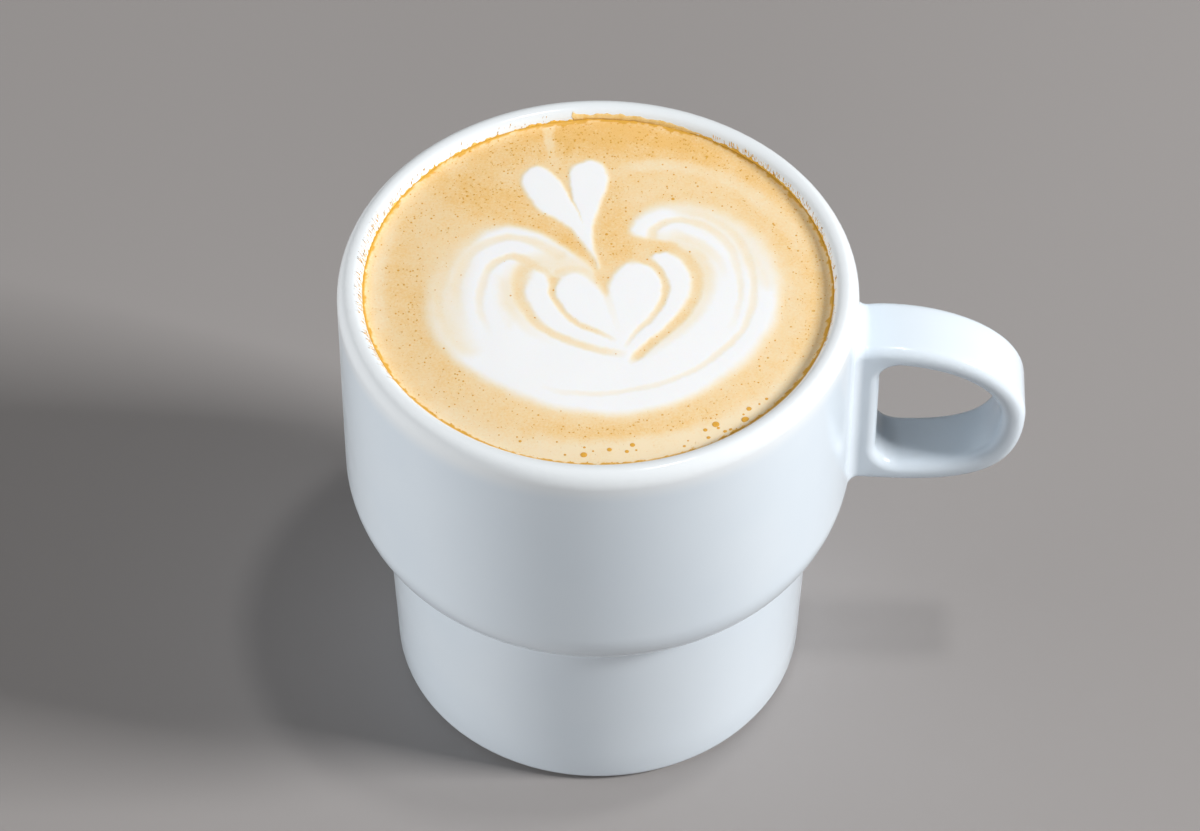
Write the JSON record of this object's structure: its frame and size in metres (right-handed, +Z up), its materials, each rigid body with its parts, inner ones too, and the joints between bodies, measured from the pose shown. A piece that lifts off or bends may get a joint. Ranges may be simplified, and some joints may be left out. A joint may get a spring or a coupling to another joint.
{
  "type": "latte in a cup",
  "caption": "Cafe latte with milk-foam art, filled close to the rim of a round stacking mug that has a narrower lower half and a D-shaped handle.",
  "frame": {"origin": "on the cup's axis, in the plane of the foot ring that stands on the table", "axes": "+Z up along the cup's axis, +X along the handle, +Y to the left when looking along the handle from the cup"},
  "size_m": [0.1146, 0.086, 0.0892],
  "materials": {
    "glaze": "glossy white glaze with a faint blue cast, unglazed on the foot ring",
    "foam": "wet coffee-brown microfoam with white milk-foam art and small open bubbles"
  },
  "bodies": {
    "root": {"cup": "glaze", "latte": "foam"}
  },
  "joints": []
}
